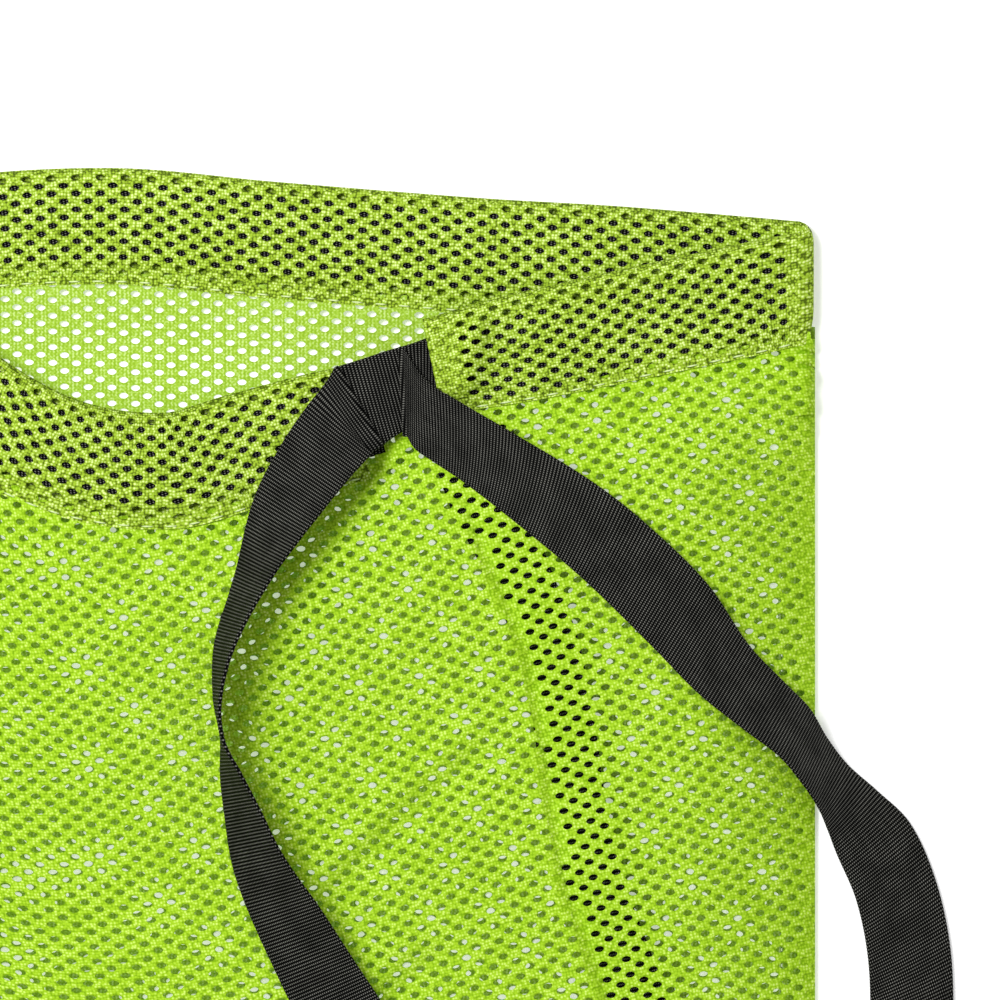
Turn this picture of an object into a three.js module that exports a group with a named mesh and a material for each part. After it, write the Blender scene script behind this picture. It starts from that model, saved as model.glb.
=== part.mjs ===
// Drawstring rope storage bag, empty, lying on its back panel. Millimetres, +Z up, mouth towards +Y.
// The origin is under the middle of the bag, on the surface that it lies on.
import * as THREE from "three";

// ---- driving dimensions ----
const BAG_WIDTH = 300;
const BAG_LENGTH = 500;
const LOFT = 20; // height of the front panel's underside over the middle of the bag
const EDGE_RISE = 45; // distance from an edge over which the front panel climbs to its full height
const CORNER_RADIUS = 18; // bottom corners
const CLOTH = 1.0;
const CASING_HEIGHT = 35; // hem casing, from its stitch row to its lip
const WEBBING_WIDTH = 25;
const WEBBING_THICKNESS = 1.4;
const SLIT_RIGHT_X = 34.5; // end of the right front casing, where both webbing ends come out
const SLIT_WIDTH = 20.5;
const THREAD = 0.8; // width of a row of stitches
const SEAM_ALLOWANCE = 8;

// ---- clearances ----
const GAP = 0.3;
const LAYER_GAP = 1.0; // between the back casing and the front casing that lies on it
const SEAM_INSET = 1.0;
const SLIT_SIDE_CLEARANCE = 0.8; // beside the webbing at the slit's narrow end
const SLIT_HEM = 5; // distance of the slit's own stitch rows from its edges

// ---- derived sizes ----
const EDGE_HEIGHT = 2 * (CLOTH + GAP); // front panel's underside along its edges, over the seam allowance
const HALF_WIDTH = BAG_WIDTH / 2;
const HALF_LENGTH = BAG_LENGTH / 2;
const CASING_THICKNESS = WEBBING_THICKNESS + 2 * GAP + 2 * CLOTH;
const BACK_LEVEL = CASING_THICKNESS / 2; // middle of the back casing's thickness
const FRONT_LEVEL = BACK_LEVEL + CASING_THICKNESS + LAYER_GAP; // the same, where the front casing lies on it
const CORNER_BEND = (FRONT_LEVEL - BACK_LEVEL) / 2; // radius of the casing's turn at the mouth's two corners
const CASING_END_X = HALF_WIDTH - CORNER_BEND - CASING_THICKNESS / 2;
const SLIT_LEFT_X = SLIT_RIGHT_X - SLIT_WIDTH;
const SLIT_HEIGHT = WEBBING_WIDTH + 2 * (CLOTH + SLIT_SIDE_CLEARANCE);
const SLIT_LIFT = CASING_THICKNESS + 0.5; // how far the gathered slit stands above the mouth's corner
const STITCH_BAND = THREAD + 2 * GAP; // room for a row of stitches between a casing and its panel

const cloth = new THREE.MeshStandardMaterial({ color: 0xa6dc1e, roughness: 0.85, metalness: 0 });
const webbing = new THREE.MeshStandardMaterial({ color: 0x161616, roughness: 0.6, metalness: 0 });
const thread = new THREE.MeshStandardMaterial({ color: 0xd9f28a, roughness: 0.7, metalness: 0 });
const bag = new THREE.Group();

function add(name, geometry, material) {
  const mesh = new THREE.Mesh(geometry, material);
  mesh.name = name;
  bag.add(mesh);
}

// ---- curves and shapes ----

// A smooth function of x through knots [x, value].
function through(knots) {
  const slope = (i) => {
    const a = knots[Math.max(i - 1, 0)];
    const b = knots[Math.min(i + 1, knots.length - 1)];
    return (b[1] - a[1]) / (b[0] - a[0]);
  };
  return (x) => {
    const inside = Math.min(Math.max(x, knots[0][0]), knots[knots.length - 1][0]);
    let i = 0;
    while (i < knots.length - 2 && inside > knots[i + 1][0]) i += 1;
    const span = knots[i + 1][0] - knots[i][0];
    const t = (inside - knots[i][0]) / span;
    const h = t * t * (3 - 2 * t);
    const rise = t * (1 - t) * (1 - t) * slope(i) - t * t * (1 - t) * slope(i + 1);
    return knots[i][1] * (1 - h) + knots[i + 1][1] * h + rise * span;
  };
}

// Moves every vertex of a geometry: place gets (x, y, z) and gives the new point.
function shaped(geometry, place) {
  const position = geometry.getAttribute("position");
  for (let i = 0; i < position.count; i += 1) {
    const point = place(position.getX(i), position.getY(i), position.getZ(i));
    position.setXYZ(i, point.x, point.y, point.z);
  }
  geometry.deleteAttribute("normal");
  geometry.deleteAttribute("uv");
  geometry.computeVertexNormals();
  return geometry;
}

// A rounded slot outline, wide along x and thick along y, centred on the origin.
function slot(outline, width, thickness) {
  const r = thickness / 2;
  outline.moveTo(-width / 2 + r, -r);
  outline.lineTo(width / 2 - r, -r);
  outline.absarc(width / 2 - r, 0, r, -Math.PI / 2, Math.PI / 2, false);
  outline.lineTo(-width / 2 + r, r);
  outline.absarc(-width / 2 + r, 0, r, Math.PI / 2, (3 * Math.PI) / 2, false);
  return outline;
}

// A flattened open-ended tube along z from 0 to 1, with the cloth's wall.
function tube(steps) {
  const outline = slot(new THREE.Shape(), CASING_HEIGHT, CASING_THICKNESS);
  const hollow = slot(new THREE.Path(), CASING_HEIGHT - 2 * CLOTH, CASING_THICKNESS - 2 * CLOTH);
  outline.holes.push(hollow);
  return new THREE.ExtrudeGeometry(outline, { depth: 1, steps, bevelEnabled: false, curveSegments: 3 });
}

// A flat strip along z from 0 to 1.
function strip(width, thickness, steps) {
  return new THREE.BoxGeometry(width, thickness, 1, 1, 1, steps).translate(0, 0, 0.5);
}

// Lays a strip or tube along a line that is given as functions of x. Its sections stay square to X, and are
// stretched so that the width across the line is kept. offset is a distance across the line.
function laidAlong(geometry, line, fromX, toX, { offset = () => 0, lift = 0, scale = () => 1 } = {}) {
  return shaped(geometry, (a, b, t) => {
    const x = fromX + (toX - fromX) * t;
    const across = a * scale(x) + offset(x);
    return new THREE.Vector3(x, line.y(x) + across * line.stretch(x), line.z(x) + b + lift);
  });
}

function lineThrough(yKnots, zKnots) {
  const y = through(yKnots);
  const z = through(zKnots);
  const stretch = (x) => Math.hypot(1, (y(x + 0.5) - y(x - 0.5)));
  return { y, z, stretch };
}

// ---- the casings' middle lines ----
const backLine = lineThrough(
  [
    [-0.97 * HALF_WIDTH, HALF_LENGTH - 29],
    [-0.73 * HALF_WIDTH, HALF_LENGTH - 20.5],
    [-0.4 * HALF_WIDTH, HALF_LENGTH - CASING_HEIGHT / 2],
    [-0.09 * HALF_WIDTH, HALF_LENGTH - 21.5],
    [0.33 * HALF_WIDTH, HALF_LENGTH - 26.5],
    [0.61 * HALF_WIDTH, HALF_LENGTH - 29],
    [0.97 * HALF_WIDTH, HALF_LENGTH - 33.5],
  ],
  [
    [-HALF_WIDTH, BACK_LEVEL],
    [HALF_WIDTH, BACK_LEVEL],
  ],
);

// The right front casing is straight, so that the webbing in it can slide.
const RIGHT_START_Y = HALF_LENGTH - 60.1;
const RIGHT_END_Y = HALF_LENGTH - 36.5;
const rightLine = lineThrough(
  [
    [SLIT_RIGHT_X, RIGHT_START_Y],
    [CASING_END_X, RIGHT_END_Y],
  ],
  [
    [SLIT_RIGHT_X, FRONT_LEVEL + SLIT_LIFT],
    [CASING_END_X, FRONT_LEVEL],
  ],
);
const pull = new THREE.Vector3(
  SLIT_RIGHT_X - CASING_END_X,
  RIGHT_START_Y - RIGHT_END_Y,
  SLIT_LIFT,
).normalize(); // the direction in which the left end of the drawstring is pulled out

const leftLine = lineThrough(
  [
    [-CASING_END_X, HALF_LENGTH - 35.5],
    [-0.85 * HALF_WIDTH, HALF_LENGTH - 50],
    [-0.7 * HALF_WIDTH, HALF_LENGTH - 70],
    [-0.5 * HALF_WIDTH, HALF_LENGTH - 86.5],
    [-0.29 * HALF_WIDTH, HALF_LENGTH - 91],
    [-20.5, HALF_LENGTH - 84.7],
    [SLIT_LEFT_X, HALF_LENGTH - 72],
  ],
  [
    [-CASING_END_X, FRONT_LEVEL],
    [-0.85 * HALF_WIDTH, FRONT_LEVEL + 4],
    [-0.7 * HALF_WIDTH, FRONT_LEVEL + 8],
    [-0.5 * HALF_WIDTH, FRONT_LEVEL + 7],
    [-0.29 * HALF_WIDTH, FRONT_LEVEL + 3.5],
    [-20.5, FRONT_LEVEL + 1],
    [SLIT_LEFT_X, FRONT_LEVEL],
  ],
);
const slitTaper = through([
  [SLIT_RIGHT_X, SLIT_HEIGHT / CASING_HEIGHT],
  [SLIT_RIGHT_X + 30, 0.93],
  [CASING_END_X, 0.97],
]);
const full = () => 1;

// ---- casings ----
const back = { line: backLine, from: -CASING_END_X, to: CASING_END_X, scale: full };
const left = { line: leftLine, from: -CASING_END_X, to: SLIT_LEFT_X, scale: full };
const right = { line: rightLine, from: SLIT_RIGHT_X, to: CASING_END_X, scale: slitTaper };

// The outline of a casing's stitched edge and what runs along it, at a distance outside that edge.
const stitchedEdge = (casing, outside) => (x) => {
  const half = (CASING_HEIGHT / 2) * casing.scale(x);
  return casing.line.y(x) - (half + outside) * casing.line.stretch(x);
};

add("back_casing", laidAlong(tube(22), backLine, back.from + GAP, back.to - GAP), cloth);
add("front_casing_left", laidAlong(tube(22), leftLine, left.from + GAP, left.to), cloth);
add(
  "front_casing_right",
  laidAlong(tube(8), rightLine, right.from, right.to - GAP, { scale: slitTaper }),
  cloth,
);

// A turn of the mouth's corner, from the front casing round to the back one, on the side +1 or -1.
function corner(geometry, side, frontY, frontScale) {
  const backY = backLine.y(side * CASING_END_X);
  return shaped(geometry, (a, b, t) => {
    const angle = Math.PI * t;
    const radius = CORNER_BEND + b;
    const scale = frontScale + (1 - frontScale) * t;
    return new THREE.Vector3(
      side * (CASING_END_X + radius * Math.sin(angle)),
      frontY + (backY - frontY) * t + side * a * scale,
      BACK_LEVEL + CORNER_BEND + radius * Math.cos(angle),
    );
  });
}

for (const [name, side, frontY, frontScale] of [
  ["left", -1, leftLine.y(-CASING_END_X), 1],
  ["right", 1, RIGHT_END_Y, slitTaper(CASING_END_X)],
]) {
  add(`casing_corner_${name}`, corner(tube(8), side, frontY, frontScale), cloth);
  const turn = strip(WEBBING_WIDTH, WEBBING_THICKNESS, 8);
  add(`webbing_corner_${name}`, corner(turn, side, frontY, 1), webbing);
}

// ---- webbing inside the casings ----
const runStrip = () => strip(WEBBING_WIDTH, WEBBING_THICKNESS, 22);
const TAIL_START_X = SLIT_RIGHT_X + 1.2; // where the left tail joins the run inside the right casing
const RUN_START_X = TAIL_START_X + GAP + (WEBBING_WIDTH / 2) * Math.abs(pull.y);
const RUN_LEFT_END_X = SLIT_LEFT_X + 6;
add("webbing_back_run", laidAlong(runStrip(), backLine, back.from + GAP, back.to - GAP), webbing);

add("webbing_front_run_left", laidAlong(runStrip(), leftLine, left.from + GAP, RUN_LEFT_END_X), webbing);
add(
  "webbing_front_run_right",
  laidAlong(strip(WEBBING_WIDTH, WEBBING_THICKNESS, 4), rightLine, RUN_START_X, right.to - GAP),
  webbing,
);

// ---- panels ----
const bottomY = (x) => {
  const into = Math.max(Math.abs(x) - (HALF_WIDTH - CORNER_RADIUS), 0);
  return -HALF_LENGTH + CORNER_RADIUS - Math.sqrt(Math.max(CORNER_RADIUS ** 2 - into ** 2, 0));
};

// The front panel's stitched top edge: the two casings' edges, joined by an S-shaped line across the slit.
function frontEdge(value) {
  return (x) => {
    if (x <= SLIT_LEFT_X) return value(left, Math.max(x, -CASING_END_X));
    if (x >= SLIT_RIGHT_X) return value(right, Math.min(x, CASING_END_X));
    const t = THREE.MathUtils.smoothstep(x, SLIT_LEFT_X, SLIT_RIGHT_X);
    return value(left, SLIT_LEFT_X) * (1 - t) + value(right, SLIT_RIGHT_X) * t;
  };
}
const frontTopY = frontEdge((casing, x) => stitchedEdge(casing, STITCH_BAND)(x));
const frontTopZ = frontEdge((casing, x) => casing.line.z(x) - CASING_THICKNESS / 2);
const backTopY = (x) => {
  const inside = Math.min(Math.max(x, -CASING_END_X), CASING_END_X);
  return stitchedEdge(back, STITCH_BAND)(inside);
};

const risen = (distance) => Math.sin((Math.min(Math.max(distance, 0) / EDGE_RISE, 1) * Math.PI) / 2);

// Height of the front panel's underside.
function undersideZ(x, y) {
  const fromTop = risen(frontTopY(x) - y);
  const inner = frontTopZ(x) + (LOFT - frontTopZ(x)) * fromTop;
  const fromEdges = risen(HALF_WIDTH - Math.abs(x)) * risen(y - bottomY(x));
  return EDGE_HEIGHT + (inner - EDGE_HEIGHT) * (1 - (1 - fromEdges) * fromTop);
}

// A sheet of cloth between the bottom edge and a top edge, whose underside lies at a height.
function panel(columns, rows, topY, heightAt) {
  const geometry = new THREE.BoxGeometry(BAG_WIDTH, 1, CLOTH, columns, rows, 1);
  return shaped(geometry, (x, v, w) => {
    const y = bottomY(x) + (topY(x) - bottomY(x)) * (v + 0.5);
    return new THREE.Vector3(x, y, heightAt(x, y) + w + CLOTH / 2);
  });
}
add("front_panel", panel(54, 20, frontTopY, undersideZ), cloth);
add("back_panel", panel(54, 1, backTopY, () => 0), cloth);

// ---- seam allowances and their stitch rows, inside the side and bottom edges ----
const SEAM_Z = CLOTH + GAP;
const bar = (width, length, thickness, x, y, z) =>
  new THREE.BoxGeometry(width, length, thickness).translate(x, y, z + thickness / 2);
const SEAM_BOTTOM_Y = -HALF_LENGTH + CORNER_RADIUS + SEAM_INSET;
for (const [name, side, casing] of [
  ["left", -1, left],
  ["right", 1, right],
]) {
  const topY = stitchedEdge(casing, STITCH_BAND)(side * CASING_END_X) - SEAM_INSET;
  const length = topY - SEAM_BOTTOM_Y;
  const middleY = (topY + SEAM_BOTTOM_Y) / 2;
  const seamX = side * (HALF_WIDTH - SEAM_INSET - SEAM_ALLOWANCE / 2);
  const rowX = seamX - side * (SEAM_ALLOWANCE / 2 + GAP + THREAD / 2);
  add(`side_seam_${name}`, bar(SEAM_ALLOWANCE, length, CLOTH, seamX, middleY, SEAM_Z), cloth);
  add(`side_stitching_${name}`, bar(THREAD, length, CLOTH, rowX, middleY, SEAM_Z), thread);
}
const BOTTOM_SEAM_LENGTH = BAG_WIDTH - 2 * (CORNER_RADIUS + SEAM_INSET);
const bottomSeamY = -HALF_LENGTH + SEAM_INSET + SEAM_ALLOWANCE / 2;
const bottomRowY = bottomSeamY + SEAM_ALLOWANCE / 2 + GAP + THREAD / 2;
add("bottom_seam", bar(BOTTOM_SEAM_LENGTH, SEAM_ALLOWANCE, CLOTH, 0, bottomSeamY, SEAM_Z), cloth);
add("bottom_stitching", bar(BOTTOM_SEAM_LENGTH, THREAD, CLOTH, 0, bottomRowY, SEAM_Z), thread);

// ---- the hems' stitch rows, between each casing and its panel ----
const ROW_HEIGHT = CLOTH + 0.2;
const hemRow = (casing) =>
  laidAlong(strip(THREAD, ROW_HEIGHT, 30), casing.line, casing.from + GAP, casing.to - GAP, {
    offset: (x) => -(CASING_HEIGHT / 2) * casing.scale(x) - STITCH_BAND / 2,
    lift: (ROW_HEIGHT - CASING_THICKNESS) / 2 + 0.1,
  });
add("back_hem_stitching", hemRow(back), thread);
add("front_hem_stitching_left", hemRow(left), thread);
add("front_hem_stitching_right", hemRow(right), thread);

// Stitch rows of the slit's two turned-in ends, on top of the casings.
for (const [name, casing, x] of [
  ["left", left, SLIT_LEFT_X - SLIT_HEM],
  ["right", right, SLIT_RIGHT_X + SLIT_HEM],
]) {
  const length = (CASING_HEIGHT * casing.scale(x) - CASING_THICKNESS) * casing.line.stretch(x);
  const top = casing.line.z(x) + CASING_THICKNESS / 2 + GAP;
  const lean = Math.abs(casing.line.z(x + THREAD) - casing.line.z(x - THREAD));
  add(`slit_stitching_${name}`, bar(THREAD, length, THREAD / 2, x, casing.line.y(x), top + lean), thread);
}

// ---- free webbing ----
// Points are [x, y, z, lean]: lean is how far the strip's left edge is raised, in degrees, seen along its way.
const leftTail = [
  [35.7, 190.15, 11.45, 0],
  [31, 189.1, 11.7, 0],
  [24, 186.4, 12.4, 0],
  [14, 180, 13.6, 0],
  [3, 166, 15, 0],
  [-3, 153, 16.6, 0],
  [-10, 140, 18.6, 5],
  [-17, 127, 22, 15],
  [-23, 112, 29, 40],
  [-27, 96, 33.6, 72],
  [-27, 82, 34.2, 78],
  [-24, 69, 32.6, 60],
  [-18.5, 55, 28.2, 30],
  [-11.5, 38, 24.6, 10],
  [-2.5, 20, 22.8, 0],
  [7, 2, 22.6, 0],
  [17, -17, 22.6, 0],
  [25, -36, 22.6, 0],
  [30, -56, 22.6, 0],
  [31, -70, 22.6, 0],
];
const rightTail = [
  [34.2, 178.4, 16.2, 0],
  [50, 168.5, 17.6, 0],
  [67, 157, 21, 0],
  [87, 138.6, 23, 0],
  [102, 123.5, 23, 0],
  [116.5, 109, 22, -6],
  [128, 97.5, 18.8, -16],
  [138, 87.5, 13.8, -24],
  [147, 78, 8.6, -28],
  [153, 71, 5.6, -18],
  [160, 62, 3.6, -8],
  [168, 50, 1.7, 0],
  [175, 34, 1.4, 0],
  [179, 15, 1.4, 0],
  [180, -5, 1.4, 0],
  [179, -24, 1.4, 0],
];
const innerStrap = [
  [46, 171, 8.4, 0],
  [47, 164, 10.4, 0],
  [49.5, 154, 14, 0],
  [54, 141, 16.6, 0],
  [60, 127, 17.8, 0],
  [68, 107, 18.3, 0],
  [76, 84, 18.3, 0],
  [84, 58, 18.3, 0],
  [91, 32, 18.1, 0],
  [97, 5, 17.6, 0],
  [101, -20, 17.2, 0],
  [102, -45, 17.2, 0],
  [101, -70, 17.2, 0],
  [99, -90, 17.2, 0],
];

// A strip of webbing along chosen points.
function ribbon(points, steps) {
  const curve = new THREE.CatmullRomCurve3(points.map(([x, y, z]) => new THREE.Vector3(x, y, z)));
  const leanAt = through(points.map((point, i) => [i, point[3]]));
  return shaped(strip(WEBBING_WIDTH, WEBBING_THICKNESS, steps), (a, b, t) => {
    const along = curve.getTangentAt(t);
    const lean = THREE.MathUtils.degToRad(leanAt(curve.getUtoTmapping(t) * (points.length - 1)));
    const up = new THREE.Vector3(0, 0, 1).addScaledVector(along, -along.z).normalize();
    const across = new THREE.Vector3().crossVectors(up, along);
    const point = curve.getPointAt(t);
    point.addScaledVector(across, a * Math.cos(lean) - b * Math.sin(lean));
    return point.addScaledVector(up, a * Math.sin(lean) + b * Math.cos(lean));
  });
}
add("webbing_left_tail", ribbon(leftTail, 60), webbing);
add("webbing_right_tail", ribbon(rightTail, 60), webbing);
add("inner_strap", ribbon(innerStrap, 40), webbing);

// The stretch of the right end that comes out of the slit and folds back over itself.
const foldOutline = new THREE.Shape();
foldOutline.moveTo(28, RIGHT_START_Y + 6.5);
foldOutline.lineTo(28.3, RIGHT_START_Y - 19);
foldOutline.lineTo(SLIT_RIGHT_X - 2 * GAP, RIGHT_START_Y - 11.5);
foldOutline.lineTo(SLIT_RIGHT_X - 2 * GAP, RIGHT_START_Y + 9);
const FOLD_Z = FRONT_LEVEL + SLIT_LIFT + WEBBING_THICKNESS / 2 + 1.2;
const fold = new THREE.ExtrudeGeometry(foldOutline, { depth: WEBBING_THICKNESS, bevelEnabled: false });
add("webbing_right_fold", fold.translate(0, 0, FOLD_Z), webbing);

export default bag;
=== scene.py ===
import math
import bmesh
import bpy
import numpy as np
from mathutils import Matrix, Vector


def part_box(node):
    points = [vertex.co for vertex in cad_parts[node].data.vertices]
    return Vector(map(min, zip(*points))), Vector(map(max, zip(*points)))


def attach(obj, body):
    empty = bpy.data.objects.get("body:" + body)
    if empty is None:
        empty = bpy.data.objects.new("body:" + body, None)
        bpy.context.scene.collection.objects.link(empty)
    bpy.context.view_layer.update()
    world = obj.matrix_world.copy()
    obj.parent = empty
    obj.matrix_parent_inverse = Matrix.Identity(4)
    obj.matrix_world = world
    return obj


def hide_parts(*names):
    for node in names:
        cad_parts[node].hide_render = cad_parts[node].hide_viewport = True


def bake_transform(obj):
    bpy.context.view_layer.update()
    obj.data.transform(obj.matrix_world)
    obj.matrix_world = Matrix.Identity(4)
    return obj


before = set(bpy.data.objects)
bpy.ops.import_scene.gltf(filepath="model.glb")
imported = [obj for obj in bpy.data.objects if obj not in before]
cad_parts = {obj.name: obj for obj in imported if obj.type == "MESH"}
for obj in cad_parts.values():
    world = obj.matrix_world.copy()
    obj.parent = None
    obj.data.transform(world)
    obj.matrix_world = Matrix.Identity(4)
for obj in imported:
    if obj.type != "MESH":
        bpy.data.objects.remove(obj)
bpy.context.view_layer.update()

MM = 0.001

# Sizes of the real goods, in millimetres.
WEBBING_WIDTH = 25.0
WEBBING_THICKNESS = 1.4
RIB = 1.04
HOLE_PITCH = 7.1
ROW_PITCH = 2.35
HOLE_HALF_LENGTH = 1.45
HOLE_HALF_HEIGHT = 0.9
CASING_HALF = 17.5
HEM_ROW = -16.6
CORNER_RADIUS = 18.0


# ---------------------------------------------------------------- camera
def overhead_camera():
    data = bpy.data.cameras.new("camera")
    data.lens = 300
    data.sensor_width = 36
    data.clip_end = 20
    camera = bpy.data.objects.new("camera", data)
    bpy.context.collection.objects.link(camera)
    camera.location = (0.05625, 0.1503, 2.503)
    bpy.context.scene.camera = camera


overhead_camera()


# ---------------------------------------------------------------- curves
def smooth(t):
    t = np.clip(t, 0, 1)
    return t * t * (3 - 2 * t)


def eased(knots, at):
    """Smooth values at chosen places, through rows of (place, value, value ...)."""
    table = np.array(knots, float)
    place, value = table[:, 0], table[:, 1:]
    low = np.maximum(np.arange(len(place)) - 1, 0)
    high = np.minimum(np.arange(len(place)) + 1, len(place) - 1)
    slope = (value[high] - value[low]) / (place[high] - place[low])[:, None]
    at = np.clip(np.asarray(at, float), place[0], place[-1])
    i = np.clip(np.searchsorted(place, at, side="right") - 1, 0, len(place) - 2)
    span = (place[i + 1] - place[i])[..., None]
    t = ((at - place[i]) / span[..., 0])[..., None]
    h = smooth(t)
    rise = t * (1 - t) ** 2 * slope[i] - t * t * (1 - t) * slope[i + 1]
    return value[i] * (1 - h) + value[i + 1] * h + rise * span


def along(points, count):
    """Evenly spaced points on a smooth curve through chosen ones."""
    points = np.array(points, float)
    reach = np.r_[0, np.cumsum(np.linalg.norm(np.diff(points[:, :3], axis=0), axis=1))]
    fine = eased(np.c_[reach, points], np.linspace(0, reach[-1], 40 * len(points)))
    reach = np.r_[0, np.cumsum(np.linalg.norm(np.diff(fine[:, :3], axis=0), axis=1))]
    even = np.linspace(0, reach[-1], count)
    return np.stack([np.interp(even, reach, column) for column in fine.T], 1)


def run_of(points):
    return np.r_[0, np.cumsum(np.linalg.norm(np.diff(points, axis=0), axis=1))]


def spread_from(path, x, y):
    """Signed distance from a line in plan, positive to the right of its way, and the share of its run."""
    path = np.asarray(path, float)[:, :2]
    best = np.full(np.shape(x), 1e9)
    side = np.zeros(np.shape(x))
    share = np.zeros(np.shape(x))
    run = run_of(path)
    for i in range(len(path) - 1):
        way = path[i + 1] - path[i]
        long = way @ way
        t = np.clip(((x - path[i, 0]) * way[0] + (y - path[i, 1]) * way[1]) / long, 0, 1)
        dx, dy = x - path[i, 0] - t * way[0], y - path[i, 1] - t * way[1]
        distance = np.hypot(dx, dy)
        near = distance < best
        best = np.where(near, distance, best)
        side = np.where(near, np.sign(dx * way[1] - dy * way[0]), side)
        share = np.where(near, (run[i] + t * math.sqrt(long)) / run[-1], share)
    return best * side, share


# ---------------------------------------------------------------- meshes
def piece_from(bm, name, material=None, smooth_faces=True):
    mesh = bpy.data.meshes.new(name)
    bm.to_mesh(mesh)
    bm.free()
    piece = bpy.data.objects.new(name, mesh)
    bpy.context.collection.objects.link(piece)
    if smooth_faces:
        mesh.polygons.foreach_set("use_smooth", np.ones(len(mesh.polygons), bool))
    if material:
        mesh.materials.append(material)
    return piece


def grid(columns, rows):
    """A flat grid whose vertices run from 0 to 1 both ways."""
    bm = bmesh.new()
    bmesh.ops.create_grid(bm, x_segments=columns, y_segments=rows, size=0.5)
    bmesh.ops.translate(bm, verts=bm.verts, vec=(0.5, 0.5, 0))
    return bm


def reshape(piece, place, chart):
    """Moves the vertices of a flat piece to their real places and charts it as cut cloth, in millimetres."""
    mesh = piece.data
    flat = np.empty(3 * len(mesh.vertices))
    mesh.vertices.foreach_get("co", flat)
    flat = flat.reshape(-1, 3)
    corner = np.empty(len(mesh.loops), int)
    mesh.loops.foreach_get("vertex_index", corner)
    layer = mesh.uv_layers.new(name="flat").data
    layer.foreach_set("uv", chart(flat[corner, 0], flat[corner, 1]).astype(np.float32).ravel())
    mesh.vertices.foreach_set("co", (place(flat[:, 0], flat[:, 1]) * MM).astype(np.float32).ravel())
    mesh.update()


def close_up(piece):
    """Joins the edges of a rolled grid and closes its two ends."""
    bm = bmesh.new()
    bm.from_mesh(piece.data)
    bmesh.ops.remove_doubles(bm, verts=bm.verts, dist=1e-7)
    open_edges = [edge for edge in bm.edges if edge.is_boundary]
    bmesh.ops.holes_fill(bm, edges=open_edges, sides=0)
    bmesh.ops.recalc_face_normals(bm, faces=bm.faces)
    bm.to_mesh(piece.data)
    bm.free()


# ---------------------------------------------------------------- webbing
def strip_edges(points, count):
    """The two edges of webbing laid along points (x, y, z, lean); lean raises the edge on its left."""
    line = along(points, count)
    centre, lean = line[:, :3], np.radians(line[:, 3])
    way = np.gradient(centre, axis=0)
    way /= np.linalg.norm(way, axis=1)[:, None]
    up = np.array([0, 0, 1.0]) - way * way[:, 2:3]
    up /= np.linalg.norm(up, axis=1)[:, None]
    across = np.cross(up, way)
    raised = across * np.cos(lean)[:, None] + up * np.sin(lean)[:, None]
    return np.c_[centre + raised * WEBBING_WIDTH / 2, centre - raised * WEBBING_WIDTH / 2]


def fold_edges(first, second, before, radius, count=14):
    """Webbing folded flat over the crease between two points; before points back along the lower layer."""
    first, second = np.array(first, float), np.array(second, float)
    before = np.array(before, float)
    before /= np.linalg.norm(before)
    turn = np.linspace(0, math.pi, count)[:, None]
    shift = -before * radius * np.sin(turn) + np.array([0, 0, 1.0]) * radius * (1 - np.cos(turn))
    return np.c_[first + shift, second + shift]


def webbing(name, edges, step=0.26):
    """Ribbed webbing between two edges, as rows of six numbers. Its ribs square up again after a bend."""
    left, right = edges[:, :3], edges[:, 3:]
    run = run_of((left + right) / 2)
    count = int(run[-1] / step)
    even = np.linspace(0, run[-1], count)
    left = np.stack([np.interp(even, run, c) for c in left.T], 1)
    right = np.stack([np.interp(even, run, c) for c in right.T], 1)
    way = np.gradient((left + right) / 2, axis=0)
    across = left - right
    wide = np.linalg.norm(across, axis=1)[:, None]
    across = across / wide
    normal = np.cross(way, across)
    normal /= np.linalg.norm(normal, axis=1)[:, None]
    settle = 70.0
    slip = run_of(left) - run_of(right)
    skew = np.zeros(count)
    for i in range(1, count):
        skew[i] = skew[i - 1] * (1 - step / settle) + slip[i] - slip[i - 1]

    section = [(-1, 0), (-0.99, 0.6), (-0.95, 0.93)] + [(a, 1) for a in np.linspace(-0.82, 0.82, 7)]
    section += [(0.95, 0.93), (0.99, 0.6), (1, 0)]
    section += [(a, -b) for a, b in section[-2:0:-1]]
    section = np.array(section + section[:1])
    sides = len(section) - 1

    def at(u, v):
        i = np.rint(u * (count - 1)).astype(int)
        a, b = section[np.rint(v * sides).astype(int)].T
        rib = np.cos(2 * math.pi * (even[i] + skew[i] * a / 2) / RIB) * (step < RIB / 3)
        thick = WEBBING_THICKNESS / 2 * b * (0.9 + 0.1 * rib)
        reach = a * (1 + 0.004 * rib * (abs(a) > 0.9))
        middle = (left[i] + right[i]) / 2
        return middle + across[i] * (reach * wide[i, 0] / 2)[:, None] + normal[i] * thick[:, None]

    def chart(u, v):
        i = np.rint(u * (count - 1)).astype(int)
        a = section[np.rint(v * sides).astype(int), 0]
        return np.c_[even[i] + skew[i] * a / 2, a * WEBBING_WIDTH / 2]

    piece = piece_from(grid(count - 1, sides), name, BLACK)
    reshape(piece, at, chart)
    close_up(piece)
    return piece


def join(pieces, name):
    """Several pieces of one strip made a single piece."""
    bm = bmesh.new()
    for piece in pieces:
        bm.from_mesh(piece.data)
    for piece in pieces:
        bpy.data.objects.remove(piece)
    return piece_from(bm, name, BLACK)


# ---------------------------------------------------------------- finishes
def bench(tree):
    """Adds nodes to a tree: add(kind, inputs in order, settings) gives the new node's first output."""

    def add(kind, *inputs, **settings):
        node = tree.nodes.new("ShaderNode" + kind)
        for key, value in settings.items():
            setattr(node, key, value)
        for socket, value in zip(node.inputs, inputs):
            if isinstance(value, bpy.types.NodeSocket):
                tree.links.new(value, socket)
            elif value is not None:
                socket.default_value = value
        return node.outputs[0]

    def calc(operation, *values):
        return add("Math", *values, operation=operation)

    return add, calc


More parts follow.
